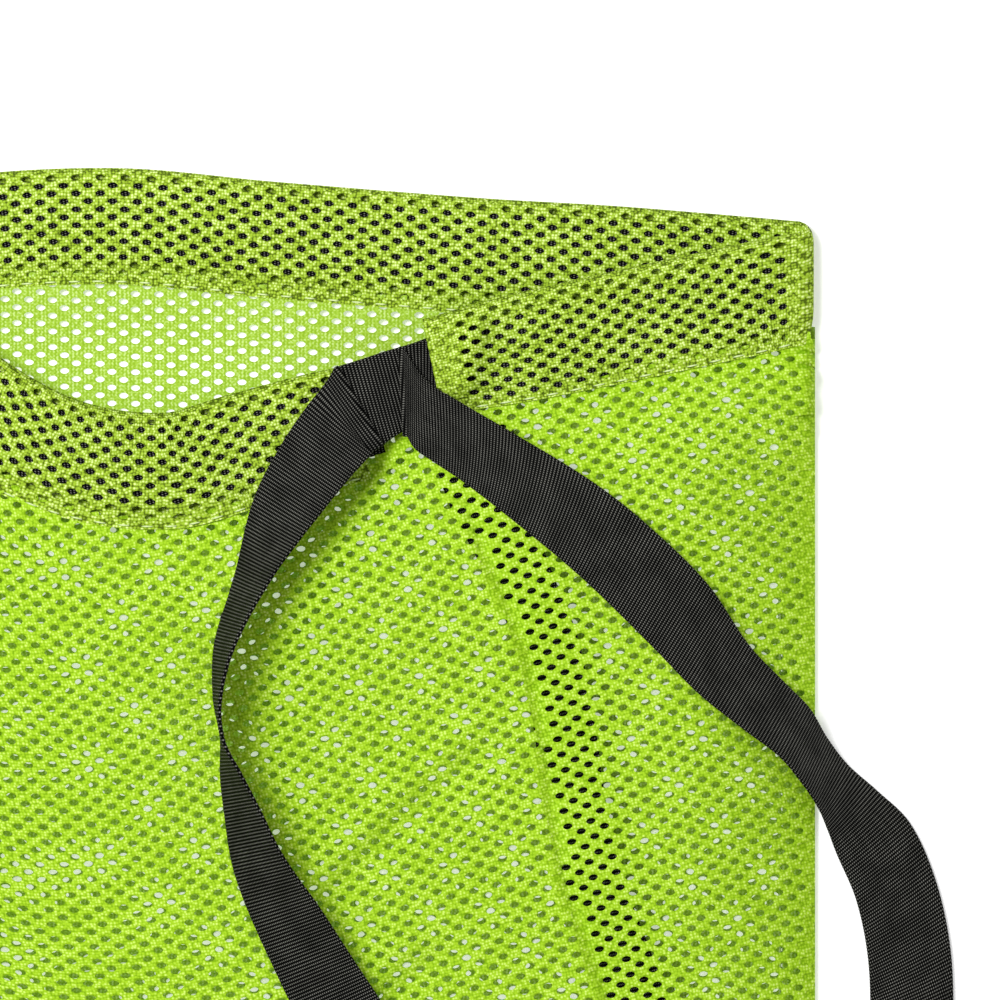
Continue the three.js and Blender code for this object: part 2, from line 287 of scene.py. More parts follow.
def group(name, inputs):
    tree = bpy.data.node_groups.new(name, "ShaderNodeTree")
    for label, kind, value in inputs:
        socket = tree.interface.new_socket(label, in_out="INPUT", socket_type="NodeSocket" + kind)
        socket.default_value = value
    tree.interface.new_socket("Color", in_out="OUTPUT", socket_type="NodeSocketColor")
    tree.interface.new_socket("Height", in_out="OUTPUT", socket_type="NodeSocketFloat")
    return tree, tree.nodes.new("NodeGroupInput").outputs, tree.nodes.new("NodeGroupOutput").inputs


def blend_colour(add, share, first, second):
    node = add("Mix", data_type="RGBA").node
    tree = node.id_data
    for socket, value in zip((node.inputs[0], node.inputs[6], node.inputs[7]), (share, first, second)):
        if isinstance(value, bpy.types.NodeSocket):
            tree.links.new(value, socket)
        else:
            socket.default_value = value
    return node.outputs[2]


def chart_parts(add):
    uv = add("UVMap", uv_map="flat")
    parts = add("SeparateXYZ", uv).node.outputs
    return uv, parts[0], parts[1]


def knit_group():
    """Warp knit: columns of small loops round staggered oval holes."""
    tree, given, result = group(
        "warp_knit",
        [
            ("Deep", "Color", (0.2, 0.4, 0.01, 1)),
            ("Yarn", "Color", (0.4, 0.7, 0.04, 1)),
            ("Crest", "Color", (0.7, 0.9, 0.2, 1)),
            ("Columns", "Float", 0.0),
        ],
    )
    add, calc = bench(tree)
    uv, u, v = chart_parts(add)
    row = calc("FLOOR", calc("DIVIDE", v, ROW_PITCH))
    odd = calc("MULTIPLY", calc("FRACT", calc("MULTIPLY", row, 0.5)), 2.0)
    across = calc("SUBTRACT", calc("DIVIDE", u, HOLE_PITCH), calc("MULTIPLY", odd, 0.5))
    across = calc("SUBTRACT", across, calc("ROUND", across))
    across = calc("MULTIPLY", across, HOLE_PITCH / HOLE_HALF_LENGTH)
    down = calc("SUBTRACT", calc("SUBTRACT", calc("DIVIDE", v, ROW_PITCH), row), 0.5)
    down = calc("MULTIPLY", down, ROW_PITCH / HOLE_HALF_HEIGHT)
    ring = calc("SQRT", calc("ADD", calc("MULTIPLY", across, across), calc("MULTIPLY", down, down)))
    rim = add("MapRange", ring, 0.95, 1.55, 0.0, 1.0, interpolation_type="SMOOTHSTEP")

    sway = calc("MULTIPLY", calc("SINE", calc("MULTIPLY", v, 2 * math.pi * 2 / ROW_PITCH)), 0.16)
    wales = calc("SINE", calc("MULTIPLY", calc("ADD", u, sway), 2 * math.pi * 6 / HOLE_PITCH))
    loops = add("TexVoronoi", uv, None, 1.08, None, None, None, None, None, 0.55)
    loops = calc("SUBTRACT", 0.62, loops)
    fuzz = add("TexNoise", uv, None, 1.4, 2.0, 0.7)
    weave = add("MapRange", given["Columns"], 0.0, 1.0, 0.0, 0.2)
    weave = calc("ADD", loops, calc("MULTIPLY", wales, weave))
    tone = calc("ADD", weave, calc("MULTIPLY", calc("SUBTRACT", fuzz, 0.5), 0.5))
    # Painted shade: the tone darkens towards each hole's edge, as shade on the hole's walls.
    tone = calc("ADD", calc("ADD", tone, 0.36), calc("MULTIPLY", calc("SUBTRACT", rim, 1.0), 0.16))
    drift = add("TexNoise", uv, None, 0.035, 2.0, 0.5)
    tone = calc("ADD", tone, calc("MULTIPLY", calc("SUBTRACT", drift, 0.5), 0.15))
    low = add("MapRange", tone, 0.15, 0.5, 0.0, 1.0, interpolation_type="SMOOTHSTEP")
    high = add("MapRange", tone, 0.5, 0.85, 0.0, 1.0, interpolation_type="SMOOTHSTEP")
    colour = blend_colour(add, low, given["Deep"], given["Yarn"])
    colour = blend_colour(add, high, colour, given["Crest"])
    tree.links.new(colour, result["Color"])
    height = calc("ADD", calc("MULTIPLY", weave, 0.7), calc("MULTIPLY", fuzz, 0.4))
    tree.links.new(calc("ADD", height, calc("MULTIPLY", rim, 0.8)), result["Height"])
    return tree


def ribs_group():
    """Cross ribs of webbing, each a row of yarn floats whose tops carry a painted highlight, a light grey
    over the black ground.
    """
    tree, given, result = group(
        "webbing_ribs",
        [("Ground", "Color", (0.01, 0.01, 0.01, 1)), ("Float", "Color", (0.1, 0.1, 0.1, 1))],
    )
    add, calc = bench(tree)
    uv, u, v = chart_parts(add)
    count = calc("DIVIDE", u, RIB)
    crest = calc("ADD", calc("MULTIPLY", calc("COSINE", calc("MULTIPLY", count, 2 * math.pi)), 0.5), 0.5)
    odd = calc("MULTIPLY", calc("FRACT", calc("MULTIPLY", calc("ROUND", count), 0.5)), math.pi * 2)
    yarn = calc("COSINE", calc("ADD", calc("MULTIPLY", v, 2 * math.pi / 0.66), odd))
    yarn = calc("ADD", calc("MULTIPLY", yarn, 0.5), 0.5)
    # Painted highlight: the tops of the floats on each rib are coloured light grey.
    painted_glint_mask = calc("MULTIPLY", calc("POWER", crest, 2.0), calc("POWER", yarn, 2.2))
    patch = add("TexNoise", uv, None, 0.12, 2.0, 0.5)
    patch = add("MapRange", patch, 0.32, 0.66, 0.6, 1.0)
    tree.links.new(
        blend_colour(add, calc("MULTIPLY", painted_glint_mask, patch), given["Ground"], given["Float"]),
        result["Color"],
    )
    height = calc("ADD", calc("MULTIPLY", crest, 0.6), calc("MULTIPLY", calc("MULTIPLY", yarn, crest), 0.4))
    tree.links.new(height, result["Height"])
    return tree


KNIT = knit_group()
RIBS = ribs_group()


def finish_with(name, tree_group, values, bump, distance, sockets, painted_glow=0.0):
    """Colour and bump come from a group, plain values sit on the shader; the glow argument is painted light:
    the pattern's colour given off by the cloth itself, in place of light through thin cloth.
    """
    material = bpy.data.materials.new(name)
    material.use_nodes = True
    tree = material.node_tree
    shader = tree.nodes["Principled BSDF"]
    pattern = tree.nodes.new("ShaderNodeGroup")
    pattern.node_tree = tree_group
    for label, value in values.items():
        pattern.inputs[label].default_value = value
    relief = tree.nodes.new("ShaderNodeBump")
    relief.inputs["Strength"].default_value = bump
    relief.inputs["Distance"].default_value = distance
    tree.links.new(pattern.outputs["Color"], shader.inputs["Base Color"])
    tree.links.new(pattern.outputs["Height"], relief.inputs["Height"])
    tree.links.new(relief.outputs["Normal"], shader.inputs["Normal"])
    # Painted light: the cloth gives off its own colour as light.
    if painted_glow:
        tree.links.new(pattern.outputs["Color"], shader.inputs["Emission Color"])
        shader.inputs["Emission Strength"].default_value = painted_glow
    for label, value in sockets.items():
        shader.inputs[label].default_value = value
    return material


MATT_CLOTH = {"Roughness": 0.85, "Specular IOR Level": 0.15}
# The front cloth's last value is a painted glow: a little of its colour given off as light.
LIME = finish_with(
    "lime_mesh_cloth",
    KNIT,
    {"Deep": (0.2, 0.4, 0.002, 1), "Yarn": (0.375, 0.64, 0.018, 1), "Crest": (0.66, 0.88, 0.18, 1)},
    0.8,
    0.0003,
    MATT_CLOTH,
    0.05,
)
LIME_CASING = finish_with(
    "lime_mesh_cloth_over_webbing",
    KNIT,
    {"Deep": (0.08, 0.13, 0.004, 1), "Yarn": (0.37, 0.57, 0.03, 1), "Crest": (0.84, 0.98, 0.38, 1)},
    0.9,
    0.0003,
    MATT_CLOTH,
)
# The inner face's last value is a painted glow: its colour given off as light, a little more than the
# front's.
LIME_INSIDE = finish_with(
    "lime_mesh_cloth_inner_face",
    KNIT,
    {
        "Deep": (0.27, 0.46, 0.02, 1),
        "Yarn": (0.36, 0.57, 0.05, 1),
        "Crest": (0.55, 0.74, 0.22, 1),
        "Columns": 1.0,
    },
    0.5,
    0.0003,
    MATT_CLOTH,
    0.07,
)
# The webbing's Float colour is the painted highlight on its rib tops.
BLACK = finish_with(
    "black_ribbed_webbing",
    RIBS,
    {"Ground": (0.0008, 0.0008, 0.0008, 1), "Float": (0.36, 0.36, 0.32, 1)},
    1.0,
    0.0004,
    {"Roughness": 0.6, "Specular IOR Level": 0.02},
)


def thread_finish():
    tree, _, result = group("twisted_thread", [])
    add, _ = bench(tree)
    place = tree.nodes.new("ShaderNodeTexCoord").outputs["Object"]
    ply = add("TexNoise", place, None, 2600.0, 2.0, 0.6)
    tree.links.new(blend_colour(add, ply, (0.5, 0.7, 0.12, 1), (0.9, 0.97, 0.66, 1)), result["Color"])
    tree.links.new(ply, result["Height"])
    return finish_with("pale_lime_thread", tree, {}, 0.4, 0.0001, {"Roughness": 0.5})


THREAD = thread_finish()


# ---------------------------------------------------------------- free webbing
# The left end's two edges where it leaves the right casing.
LEFT_START = [42.0, 175.6, 11.3, 35.4, 199.2, 11.4]
LEFT_TAIL = [
    (15.2, 179.3, 14.6, 5),
    (3.6, 165.2, 19.4, 22),
    (-7.3, 148.6, 23.4, 38),
    (-16.8, 128.0, 27.4, 64),
    (-25.0, 108.0, 32.0, 75),
    (-27.4, 91.5, 34.1, 84),
    (-26.0, 79.5, 34.3, 87),
    (-23.3, 68.5, 34.0, 74),
    (-19.6, 56.2, 33.2, 62),
    (-16.0, 44.5, 32.2, 52),
    (-11.7, 35.0, 31.0, 44),
    (-6.2, 25.0, 29.7, 35),
    (-1.4, 16.2, 28.4, 29),
    (4.2, 6.0, 26.8, 21),
    (10.5, -5.0, 24.8, 11),
    (17.0, -17.5, 23.2, 4),
    (23.5, -35.0, 22.6, 0),
    (28.8, -54.0, 22.6, 0),
    (30.5, -70.0, 22.6, 0),
]


def left_end():
    """Comes flat out of the right casing, turns down in a pleat, and stands on edge before it lies down."""
    # Rows hold the left edge and then the right edge, seen along the way.
    before_pleat = along(
        [
            LEFT_START,
            [35.0, 173.4, 12.3, 29.5, 197.0, 12.4],
            [29.0, 171.6, 13.0, 22.0, 194.8, 13.0],
            [24.5, 169.0, 13.3, 14.5, 192.3, 13.3],
            [20.8, 166.6, 13.1, 8.0, 190.3, 13.1],
            [16.8, 165.3, 12.9, 6.9, 189.7, 13.0],
        ],
        160,
    )
    low = np.array([20.5, 166.1, 14.3])
    high = np.array([6.8, 189.9, 14.2])
    pleat = fold_edges(low, high, (-0.866, -0.5, 0), 0.75)
    hidden = np.r_[low + [-4.3, -2.2, -0.1], high + [-0.3, -0.7, 0]]
    rest = strip_edges(LEFT_TAIL, 600)[24:]
    opening = along([pleat[-1], pleat[-1] + [-3.4, -2.4, 0.1, -2.4, -4.2, 0], *rest[0:60:20]], 90)
    after_pleat = np.r_[[hidden], pleat, opening[1:-1], rest[40:]]
    line = np.r_[before_pleat[::24], after_pleat[20::24]]
    pieces = [
        webbing("free_left_end_before_pleat", before_pleat),
        webbing("free_left_end_after_pleat", after_pleat),
    ]
    return join(pieces, "drawstring_left_end"), (line[:, :3] + line[:, 3:]) / 2


def right_end():
    """Folds flat over itself at the slit, crosses the front panel and drops off the bag's right edge."""
    before = (0.998, 0.06, 0)
    upper, lower = (27.2, 196.2, 14.1), (28.6, 169.2, 14.1)
    inside, at_slit = [40.0, 200.0, 12.3, 39.2, 180.5, 12.3], [33.0, 197.8, 13.7, 33.2, 176.5, 13.7]
    out = along([inside, at_slit, [*upper, *lower]], 60)
    fold = fold_edges(upper, lower, before, 0.8)
    rest = along(
        [
            fold[-1],
            [34.2, 186.2, 17.2, 31.0, 165.4, 16.2],
            [44.3, 179.6, 18.4, 36.8, 161.4, 16.8],
            [60.0, 170.4, 20.6, 46.5, 154.8, 18.6],
            [83.0, 156.3, 23.0, 65.6, 139.8, 22.6],
            [99.4, 143.6, 23.2, 81.8, 126.0, 23.0],
            [118.0, 125.4, 22.8, 101.4, 106.8, 23.0],
            [130.6, 107.0, 18.6, 115.6, 92.4, 24.2],
            [141.0, 96.0, 14.6, 128.8, 82.0, 24.0],
            [148.8, 88.0, 9.6, 139.6, 73.8, 21.0],
            [154.2, 79.0, 5.0, 147.0, 65.0, 16.4],
            [160.4, 71.0, 2.0, 151.6, 58.0, 11.4],
            [169.0, 63.5, 1.5, 154.4, 51.4, 5.6],
            [179.3, 53.4, 1.4, 157.2, 44.2, 2.0],
            [186.9, 36.7, 1.4, 163.1, 30.3, 1.5],
            [191.4, 16.6, 1.4, 166.6, 13.4, 1.4],
            [192.4, -5.0, 1.4, 167.4, -5.0, 1.4],
            [191.4, -24.6, 1.4, 166.5, -23.4, 1.4],
        ],
        700,
    )
    edges = np.r_[out, fold[1:-1], rest]
    line = np.r_[out[::20], rest[20::24]]
    return webbing("drawstring_right_end", edges), (line[:, :3] + line[:, 3:]) / 2


def inner_strap():
    line = [
        (47.5, 171.0, 8.6, 0),
        (49.5, 162.0, 9.6, 8),
        (53.0, 150.0, 10.2, 24),
        (57.8, 138.0, 10.2, 38),
        (64.5, 122.0, 9.4, 43),
        (70.6, 107.0, 9.1, 44),
        (75.2, 84.0, 9.1, 44),
        (79.0, 58.0, 9.1, 44),
        (84.6, 34.0, 9.1, 44),
        (90.6, 17.0, 8.8, 42),
        (95.4, 2.0, 9.0, 38),
        (99.5, -22.0, 10.6, 26),
        (101.0, -46.0, 13.6, 14),
        (100.5, -70.0, 15.2, 4),
        (99.0, -90.0, 16.0, 0),
    ]
    edges = strip_edges(line, 500)
    middle = (edges[::16, :3] + edges[::16, 3:]) / 2
    return webbing("inner_tie_strap", edges, step=0.52), middle


def declare_free_end(piece, line, body, *nodes):
    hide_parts(*nodes)
    if body:
        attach(piece, body)


left_piece, left_line = left_end()
declare_free_end(left_piece, left_line, "left_strand", "webbing_left_tail")
right_piece, right_line = right_end()
declare_free_end(right_piece, right_line, None, "webbing_right_fold", "webbing_right_tail")
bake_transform(right_piece)
strap_piece, strap_line = inner_strap()
declare_free_end(strap_piece, strap_line, "bag", "inner_strap")


# ---------------------------------------------------------------- the mouth's lines
HALF_WIDTH = 150.8
HALF_LENGTH = 250.0
BACK_LEVEL = 2.0
CASING_END = 146.3
SLIT_LEFT = 14.0
SLIT_RIGHT = 36.0
BACK_LINE = [
    (-145.5, 221),
    (-109.5, 229.5),
    (-60, 232.5),
    (-13.5, 228.5),
    (49.5, 223.5),
    (91.5, 221),
    (145.5, 216.5),
]
LEFT_LINE = [
    (-145.5, 214.5, 7),
    (-127.5, 200, 11),
    (-105, 180, 15),
    (-75, 163.5, 14),
    (-43.5, 159, 10.5),
    (-20.5, 165, 8),
    (0, 170.5, 7.2),
    (14, 173.6, 7),
]
RIGHT_LINE = [(36.0, 190.2, 11.4), (145.5, 213.5, 7)]
TAPER = [(36.0, 0.83), (64.5, 0.93), (145.5, 0.97)]


def corner_rows(side, front, back, share):
    """Stations from front to back round one side of the mouth; the height grows from its share to full."""
    rows = []
    for t in np.linspace(0, 1, 16)[1:-1]:
        s, c = math.sin(math.pi * t), math.cos(math.pi * t)
        x, y, z = side * (CASING_END + 2.5 * s), front + (back - front) * t, 4.5 + 2.5 * c
        rows.append([x, y, z, side * s, 0, c, share + (1 - share) * t])
    return rows


def mouth_band():
    """Stations round the mouth: middle, way to the lip, outward normal, share of the full height."""
    rows = []
    for x in np.linspace(SLIT_LEFT, -CASING_END, 130):
        y, z = eased(LEFT_LINE, [x])[0]
        rows.append([x, y, z, 0, 0, 1, 1])
    rows += corner_rows(-1, LEFT_LINE[0][1], BACK_LINE[0][1], 1)
    for x in np.linspace(-CASING_END, CASING_END, 200):
        rows.append([x, eased(BACK_LINE, [x])[0, 0], BACK_LEVEL, 0, 0, -1, 1])
    rows += corner_rows(1, RIGHT_LINE[1][1], BACK_LINE[-1][1], TAPER[-1][1])[::-1]
    for x in np.linspace(CASING_END, SLIT_RIGHT, 110):
        y, z = eased(RIGHT_LINE, [x])[0]
        rows.append([x, y, z, 0, 0, 1, eased(TAPER, [x])[0, 0]])
    rows = np.array(rows)
    run = run_of(rows[:, :3])
    even = np.linspace(0, run[-1], 900)
    rows = np.stack([np.interp(even, run, column) for column in rows.T], 1)
    way = np.gradient(rows[:, :3], axis=0)
    way /= np.linalg.norm(way, axis=1)[:, None]
    normal = rows[:, 3:6] / np.linalg.norm(rows[:, 3:6], axis=1)[:, None]
    lip = np.cross(way, normal)
    lip *= np.sign(lip[:, 1:2])
    turning = smooth((np.abs(rows[:, 0]) - CASING_END + 16) / 16)[:, None]
    lip = lip * (1 - turning) + np.array([0, 1, 0]) * turning
    lip /= np.linalg.norm(lip, axis=1)[:, None]
    return even, rows[:, :3], lip, normal, rows[:, 6]


BAND_RUN, BAND_MIDDLE, BAND_LIP, BAND_NORMAL, BAND_HEIGHT = mouth_band()


def band_place(u, across, out):
    """The point at a run round the mouth, a distance towards the lip and one outwards."""
    pick = [np.interp(u, BAND_RUN, c) for c in np.c_[BAND_MIDDLE, BAND_LIP, BAND_NORMAL, BAND_HEIGHT].T]
    middle, lip, normal = (np.stack(pick[i : i + 3], 1) for i in (0, 3, 6))
    share = pick[9]
    return middle + lip * (across * share)[:, None] + normal * out[:, None]


def facing_up(u):
    return np.clip(np.interp(u, BAND_RUN, BAND_NORMAL[:, 2]), 0, 1)


def wall_bulge(across):
    """Half the thickness of the folded casing at a place between its stitched edge and its lip."""
    low = 0.55 + 1.25 * smooth((across + CASING_HALF) / 9)
    return np.minimum(low, 0.25 + 1.6 * np.sqrt(np.clip((CASING_HALF - across) / 4.5, 0, 1)))


# ---------------------------------------------------------------- mesh cloth
def knit_net(name, extent, place, keep=None, fit=None, plain=None, material=None, turned=False):
    """Cloth with staggered oval holes. extent is in mm of flat cloth, and place gives its real points.

    keep says where the cloth is, fit moves border points, plain closes holes, turned turns the faces over.
    """
    first, last = math.floor(extent[0] / HOLE_PITCH), math.ceil(extent[1] / HOLE_PITCH)
    bottom, top = math.floor(extent[2] / ROW_PITCH), math.ceil(extent[3] / ROW_PITCH)
    columns, rows = 4 * (last - first), top - bottom
    bm = grid(columns, rows)
    size = ((last - first) * HOLE_PITCH, rows * ROW_PITCH)
    corner = ((first - 0.5) * HOLE_PITCH, bottom * ROW_PITCH)
    bmesh.ops.scale(bm, verts=bm.verts, vec=(size[0], size[1], 1))
    bmesh.ops.translate(bm, verts=bm.verts, vec=(corner[0], corner[1], 0))
    inner, bricks = [], []
    for edge in bm.edges:
        one, other = edge.verts[0].co, edge.verts[1].co
        if abs(one.x - other.x) > 0.1 or edge.is_boundary:
            continue
        row = math.floor((one.y + other.y) / 2 / ROW_PITCH)
        shift = 0 if row % 2 == 0 else 2
        quarter = round((one.x - corner[0]) / (HOLE_PITCH / 4)) - shift
        if quarter % 4:
            inner.append(edge)
            hole = corner[0] + (quarter // 4 * 4 + shift + 2) * HOLE_PITCH / 4
            bricks.append((hole, (row + 0.5) * ROW_PITCH))
    if plain:
        inner = [edge for edge, closed in zip(inner, plain(*np.array(bricks).T)) if not closed]
    bmesh.ops.dissolve_edges(bm, edges=inner, use_verts=False, use_face_split=False)
    if keep:
        bm.faces.ensure_lookup_table()
        middle = np.array([face.calc_center_bounds()[:2] for face in bm.faces])
        spare = ~keep(*place(middle[:, 0], middle[:, 1]).T)
        bmesh.ops.delete(bm, geom=[bm.faces[i] for i in np.nonzero(spare)[0]], context="FACES")
    border = bm.verts.layers.int.new("border")
    for vert in bm.verts:
        vert[border] = int(vert.is_boundary)
    cells = [face for face in bm.faces if len(face.verts) == 10]
    holes = [face for face in cells if not any(vert.is_boundary for vert in face.verts)]
    bmesh.ops.inset_individual(bm, faces=holes, thickness=0.2, depth=0)
    for face in holes:
        centre = face.calc_center_bounds()
        for vert in face.verts:
            step = round((vert.co.x - centre.x) / (HOLE_PITCH / 4 - 0.1)) * 0.25
            angle = math.copysign(math.acos(max(-0.95, min(0.95, 1.9 * step))), vert.co.y - centre.y)
            vert.co.x = centre.x + HOLE_HALF_LENGTH * math.cos(angle)
            vert.co.y = centre.y + HOLE_HALF_HEIGHT * math.sin(angle)
    bmesh.ops.delete(bm, geom=holes, context="FACES")
    if turned:
        bmesh.ops.reverse_faces(bm, faces=bm.faces[:])
    piece = piece_from(bm, name, material or LIME)
    mesh = piece.data
    edge_flags = np.empty(len(mesh.vertices), int)
    mesh.attributes["border"].data.foreach_get("value", edge_flags)

    def real(u, v):
        points = place(u, v)
        if fit:
            points = fit(points, edge_flags > 0)
        return points

    reshape(piece, real, lambda u, v: np.c_[u, v])
    return piece


def mouth_casing():
    across = np.linspace(-CASING_HALF, CASING_HALF, 300)
    outer = np.c_[across, wall_bulge(across)]
    section = np.r_[outer, (outer * [1, -1])[-2::-1]]
    length = run_of(section)
    wrap = length[-1]
    total = BAND_RUN[-1]

    bricks, rows = round(total / HOLE_PITCH), round(wrap / ROW_PITCH)

    def place(u, v):
        u = np.clip((u / HOLE_PITCH + 0.5) / bricks, 0, 1) * total
        v = np.clip(v / ROW_PITCH / rows, 0, 1) * wrap
        a = np.interp(v, length, section[:, 0])
        out = np.interp(v, length, section[:, 1])
        ripple = 0.22 * np.sin(u / 7.3 + 0.08 * a) + 0.18 * np.sin(u / 3.1 + a / 6.0)
        from_slit = total - u
        gather = np.exp(-from_slit / 13) * np.sin(a * 1.15 + 0.6 * np.sin(u / 4)) * 0.6
        gather += np.exp(-u / 9) * np.sin(a * 1.0) * 0.5
        lively = np.clip(out - 0.5, 0, 1)
        flare = smooth((CASING_HALF - abs(a)) / 10)
        lean = from_slit - 0.33 * a
        puff = 3.4 * np.exp(-(((lean - 12) / np.where(lean < 12, 5, 3.4)) ** 2))
        puff = puff + 1.6 * np.exp(-((from_slit / 7) ** 2))
        out = out + lively * (ripple * (facing_up(u) + 0.3) + gather + puff * flare)
        points = band_place(u, a, out)
        points[:, 2] = np.maximum(points[:, 2], 0.25)
        return points

    def plain(u, v):
        share = (u / HOLE_PITCH + 0.5) / bricks
        across = np.interp(v / ROW_PITCH / rows * wrap, length, section[:, 0])
        corner = np.abs(np.interp(share * total, BAND_RUN, BAND_MIDDLE[:, 0])) > CASING_END - 4
        at_slit = (share < 0.8 / bricks) | (share > 1 - 1.4 / bricks)
        return corner | at_slit | (across > CASING_HALF - 1.9)

    extent = (0, (bricks - 0.001) * HOLE_PITCH, 0, (rows - 0.001) * ROW_PITCH)
    piece = knit_net("mouth_casing", extent, place, plain=plain, material=LIME_CASING, turned=True)
    casings = ("back_casing", "front_casing_left", "front_casing_right")
    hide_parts(*casings, "casing_corner_left", "casing_corner_right")
    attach(piece, "bag")


def top_edge(x):
    """Height in plan of the front panel's stitched top edge, and its level."""
    left = eased(LEFT_LINE, np.clip(x, -CASING_END, SLIT_LEFT))
    right = eased(RIGHT_LINE, np.clip(x, SLIT_RIGHT, CASING_END))
    taper = eased(TAPER, np.clip(x, SLIT_RIGHT, CASING_END))[:, 0]
    t = smooth((x - SLIT_LEFT) / (SLIT_RIGHT - SLIT_LEFT))
    edge = (left[:, 0] - 17.6) * (1 - t) + (right[:, 0] - 17.8 * taper) * t
    return edge, left[:, 1] * (1 - t) + right[:, 1] * t


def edge_room(x, y):
    """Distance in plan from the bag's sides and bottom, with its rounded lower corners."""
    dx = HALF_WIDTH - np.abs(x)
    dy = y + HALF_LENGTH
    corner = (dx < CORNER_RADIUS) & (dy < CORNER_RADIUS)
    rounded = CORNER_RADIUS - np.hypot(CORNER_RADIUS - dx, CORNER_RADIUS - dy)
    return np.where(corner, rounded, np.minimum(dx, dy))


def onto_outline(points, border, top, level):
    """Moves border points that are close to the bag's sides or bottom onto that line, at one level."""
    x, y = points[:, 0], points[:, 1]
    room = edge_room(x, y)
    step = 0.5
    gx = (edge_room(x + step, y) - room) / step
    gy = (edge_room(x, y + step) - room) / step
    near = border & (room < np.where(y > top(x) - 3, 1.0, 3.0))
    points[:, 0] = np.where(near, x - gx * room, x)
    points[:, 1] = np.where(near, y - gy * room, y)
    points[:, 2] = np.where(near, level, points[:, 2])
    return points


# The long crease beside the inner strap, and two softer folds.
CREASE = [
    (41.7, 158),
    (48.8, 137.5),
    (56, 121),
    (63, 104),
    (67.5, 80),
    (70, 60),
    (74.5, 34),
    (80.5, 19),
    (86, 3),
    (93, -30),
    (96, -70),
]
DIAGONAL = [(56, 86), (40, 71), (24, 56), (7.7, 39.6), (-12, 18)]
LOWER_FOLD = [(38, 22), (24, 8), (6, -8), (-14, -22)]


def front_height(x, y):
    """Level of the front panel's cloth."""

    def ridge(away, middle, half_width):
        return np.exp(-(((away - middle) / half_width) ** 2))

    edge, level = top_edge(x)
    down = np.clip(edge - y, 0, None)
    room = edge_room(x, y)
    rise_top = np.sin(np.clip(down / 42, 0, 1) * math.pi / 2)
    rise_side = np.sin(np.clip(room / 45, 0, 1) * math.pi / 2)
    inner = level + (20.4 - level) * rise_top
    z = 3.1 + (inner - 3.1) * (1 - (1 - rise_side) * rise_top)
    z = z - 0.5 * np.exp(-np.clip(room, 0, None) / 0.9)
    calm = smooth(down / 30) * smooth(room / 30)

    away, share = spread_from(CREASE, x, y)
    fade = smooth(share / 0.1) * smooth((1 - share) / 0.25)
    z += fade * calm * (1.2 * smooth((away + 1) / 2) * (1 - smooth((away - 2) / 16)) - 0.4)
    z += fade * calm * (ridge(away, 0.8, 1.4) - 1.4 * ridge(away, -1.8, 1.4))
    for fold, rise, middle, half_width in ((DIAGONAL, 1.5, 3, 5), (LOWER_FOLD, 1.6, 4, 6)):
        away, share = spread_from(fold, x, y)
        fade = smooth(share / 0.2) * smooth((1 - share) / 0.2)
        z += calm * rise * fade * (ridge(away, middle, half_width) - ridge(away, -4, 5))

    slit = np.hypot(x - 31, y - 176)
    turn = np.arctan2(y - 176, x - 31)
    z += 0.8 * np.exp(-slit / 16) * smooth(slit / 6) * np.sin(11 * turn + slit / 9) * smooth(down / 3)
    z += calm * (0.6 * np.sin(x / 23 + y / 41) + 0.5 * np.sin(y / 19 - x / 37 + 1))
    return z


def front_panel():
    centre = np.array([50.0, 100.0])
    tilt = math.radians(14.5)

    def place(u, v):
        du, dv = u - centre[0], v - centre[1]
        angle = tilt * (1 - smooth((np.hypot(du, dv) - 110) / 190))
        x = centre[0] + du * np.cos(angle) - dv * np.sin(angle)
        y = centre[1] + du * np.sin(angle) + dv * np.cos(angle)
        y = y - 0.00035 * (x - centre[0]) * np.abs(x - centre[0])
        return np.c_[x, y, front_height(x, y)]

    def keep(x, y, z):
        return (edge_room(x, y) > -0.5) & (y < top_edge(x)[0] + 3.2)

    def fit(points, border):
        return onto_outline(points, border, lambda x: top_edge(x)[0], 2.45)

    def plain(u, v):
        x, y, _ = place(u, v).T
        away, share = spread_from(CREASE, x, y)
        return (edge_room(x, y) < 3) | ((abs(away + 0.6) < 1.8) & (share > 0.08) & (share < 0.9))

    piece = knit_net("mesh_front_panel", (-260, 260, -300, 260), place, keep, fit, plain)
    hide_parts("front_panel")
    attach(piece, "bag")


def back_edge(x):
    return eased(BACK_LINE, np.clip(x, -CASING_END, CASING_END))[:, 0] - CASING_HALF


def back_panel():
    def place(u, v):
        x = u
        y = v - 0.02 * (u - 40) * smooth((v - 40) / 150)
        lift = smooth((y - back_edge(x) + 22) / 22) * 1.6
        wave = 0.15 * np.sin(x / 17 + y / 29) + 0.12 * np.sin(y / 13 - x / 31)
        rim = 1.5 * np.exp(-np.clip(edge_room(x, y), 0, None) / 0.9)
        return np.c_[x, y, 0.75 + rim + wave + lift * smooth(edge_room(x, y) / 8)]

    def keep(x, y, z):
        return (edge_room(x, y) > -0.5) & (y < back_edge(x) + 3)

    def fit(points, border):
        return onto_outline(points, border, back_edge, 2.3)

    def plain(u, v):
        return edge_room(u, v) < 3

    extent = (-160, 160, -256, 240)
    piece = knit_net("mesh_back_panel", extent, place, keep, fit, plain, LIME_INSIDE, turned=True)
    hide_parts("back_panel")
    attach(piece, "bag")


back_panel()
front_panel()
mouth_casing()


